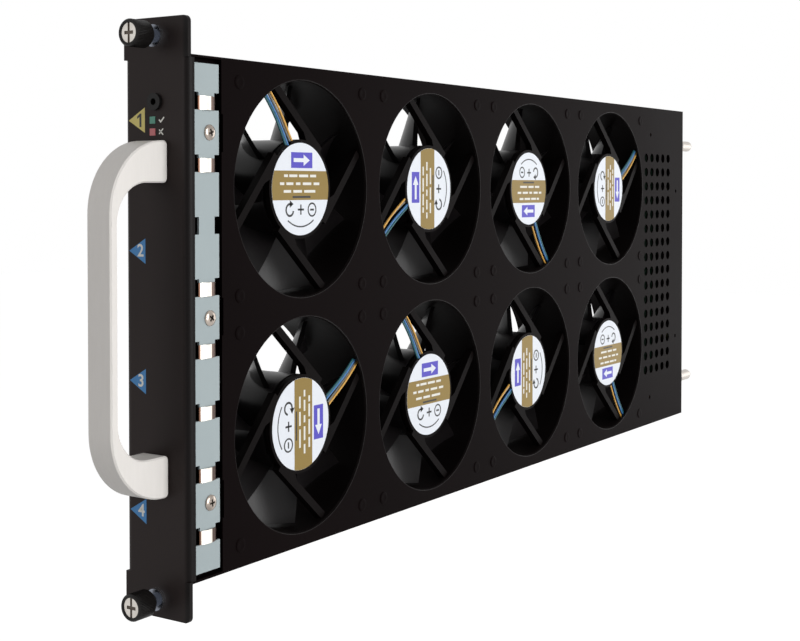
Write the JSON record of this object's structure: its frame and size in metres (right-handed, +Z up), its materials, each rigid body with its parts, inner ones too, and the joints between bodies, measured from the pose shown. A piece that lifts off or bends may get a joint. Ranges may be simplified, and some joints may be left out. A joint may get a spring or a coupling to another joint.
{
  "type": "rack fan tray",
  "caption": "Slim vertical fan tray for a rack chassis: black sheet-metal case with two rows of axial fans, a bow handle, captive thumbscrews and rear guide pins.",
  "frame": {"origin": "middle of the front panel's rear seating face, halfway up and halfway through the tray", "axes": "+Y from the front panel to the rear guide pins, +X out of the fans' label side, +Z up"},
  "size_m": [0.0283, 0.4654, 0.1952],
  "materials": {
    "black_sheet": "satin black powder coat",
    "black_panel": "satin black powder coat",
    "satin_aluminium": "satin anodised",
    "zinc_steel": "zinc plated",
    "nickel": "bright nickel",
    "black_knob": "black anodised, fine knurl",
    "bright_screw": "bright nickel",
    "spring_steel": "spring steel",
    "grey_strip": "light grey",
    "contact_nickel": "bright nickel over copper",
    "black_plastic": "glossy black",
    "green_lens": "translucent green",
    "red_lens": "translucent red",
    "board_green": "solder mask",
    "brass": "turned brass",
    "connector_black": "moulded black",
    "pin_steel": "nickel plated",
    "fan_black": "moulded black, fine grain",
    "rotor_black": "moulded black, satin",
    "shaft_steel": "ground steel",
    "lead_vinyl": "vinyl insulation"
  },
  "bodies": {
    "tray": {"tray_case": "black_sheet", "tray_cover": "black_sheet", "front_panel": "black_panel", "handle": "satin_aluminium", "handle_screws": "zinc_steel", "upper_ferrule": "nickel", "lower_ferrule": "nickel", "contact_strip": "grey_strip", "contact_clips": "contact_nickel", "strip_screws": "bright_screw", "jack": "black_plastic", "green_lamp": "green_lens", "red_lamp": "red_lens", "controller_board": "board_green", "board_standoffs": "brass", "rear_connector": "connector_black", "upper_guide_pin": "pin_steel", "lower_guide_pin": "pin_steel", "fan_1_frame": "fan_black", "fan_1_leads": "lead_vinyl", "fan_2_frame": "fan_black", "fan_2_leads": "lead_vinyl", "fan_3_frame": "fan_black", "fan_3_leads": "lead_vinyl", "fan_4_frame": "fan_black", "fan_4_leads": "lead_vinyl", "fan_5_frame": "fan_black", "fan_5_leads": "lead_vinyl", "fan_6_frame": "fan_black", "fan_6_leads": "lead_vinyl", "fan_7_frame": "fan_black", "fan_7_leads": "lead_vinyl", "fan_8_frame": "fan_black", "fan_8_leads": "lead_vinyl"},
    "fan_1_rotor": {"fan_1_impeller": "rotor_black", "fan_1_shaft": "shaft_steel"},
    "fan_2_rotor": {"fan_2_impeller": "rotor_black", "fan_2_shaft": "shaft_steel"},
    "fan_3_rotor": {"fan_3_impeller": "rotor_black", "fan_3_shaft": "shaft_steel"},
    "fan_4_rotor": {"fan_4_impeller": "rotor_black", "fan_4_shaft": "shaft_steel"},
    "fan_5_rotor": {"fan_5_impeller": "rotor_black", "fan_5_shaft": "shaft_steel"},
    "fan_6_rotor": {"fan_6_impeller": "rotor_black", "fan_6_shaft": "shaft_steel"},
    "fan_7_rotor": {"fan_7_impeller": "rotor_black", "fan_7_shaft": "shaft_steel"},
    "fan_8_rotor": {"fan_8_impeller": "rotor_black", "fan_8_shaft": "shaft_steel"},
    "upper_push": {"upper_spring_washer": "zinc_steel", "upper_spring": "spring_steel"},
    "upper_turn": {"upper_knob": "black_knob", "upper_thumbscrew": "bright_screw"},
    "lower_push": {"lower_spring_washer": "zinc_steel", "lower_spring": "spring_steel"},
    "lower_turn": {"lower_knob": "black_knob", "lower_thumbscrew": "bright_screw"}
  },
  "joints": [
    {"name": "fan_1_spin", "type": "hinge", "parent": "tray", "child": "fan_1_rotor", "pos_m": [0, 0.0604, 0.042], "axis": [1, 0, 0], "continuous": true},
    {"name": "fan_2_spin", "type": "hinge", "parent": "tray", "child": "fan_2_rotor", "pos_m": [0, 0.1463, 0.042], "axis": [1, 0, 0], "continuous": true},
    {"name": "fan_3_spin", "type": "hinge", "parent": "tray", "child": "fan_3_rotor", "pos_m": [0, 0.2322, 0.042], "axis": [1, 0, 0], "continuous": true},
    {"name": "fan_4_spin", "type": "hinge", "parent": "tray", "child": "fan_4_rotor", "pos_m": [0, 0.3181, 0.042], "axis": [1, 0, 0], "continuous": true},
    {"name": "fan_5_spin", "type": "hinge", "parent": "tray", "child": "fan_5_rotor", "pos_m": [0, 0.0604, -0.042], "axis": [1, 0, 0], "continuous": true},
    {"name": "fan_6_spin", "type": "hinge", "parent": "tray", "child": "fan_6_rotor", "pos_m": [0, 0.1463, -0.042], "axis": [1, 0, 0], "continuous": true},
    {"name": "fan_7_spin", "type": "hinge", "parent": "tray", "child": "fan_7_rotor", "pos_m": [0, 0.2322, -0.042], "axis": [1, 0, 0], "continuous": true},
    {"name": "fan_8_spin", "type": "hinge", "parent": "tray", "child": "fan_8_rotor", "pos_m": [0, 0.3181, -0.042], "axis": [1, 0, 0], "continuous": true},
    {"name": "upper_thumbscrew_push", "type": "slide", "parent": "tray", "child": "upper_push", "axis": [0, 1, 0], "range_m": [0, 0.002], "stiffness_N_per_m": 400, "springref_m": -0.003, "deforming": ["upper_spring"]},
    {"name": "upper_thumbscrew_turn", "type": "hinge", "parent": "upper_push", "child": "upper_turn", "pos_m": [0, 0, 0.0916], "axis": [0, 1, 0], "continuous": true},
    {"name": "lower_thumbscrew_push", "type": "slide", "parent": "tray", "child": "lower_push", "axis": [0, 1, 0], "range_m": [0, 0.002], "stiffness_N_per_m": 400, "springref_m": -0.003, "deforming": ["lower_spring"]},
    {"name": "lower_thumbscrew_turn", "type": "hinge", "parent": "lower_push", "child": "lower_turn", "pos_m": [0, 0, -0.0916], "axis": [0, 1, 0], "continuous": true}
  ]
}
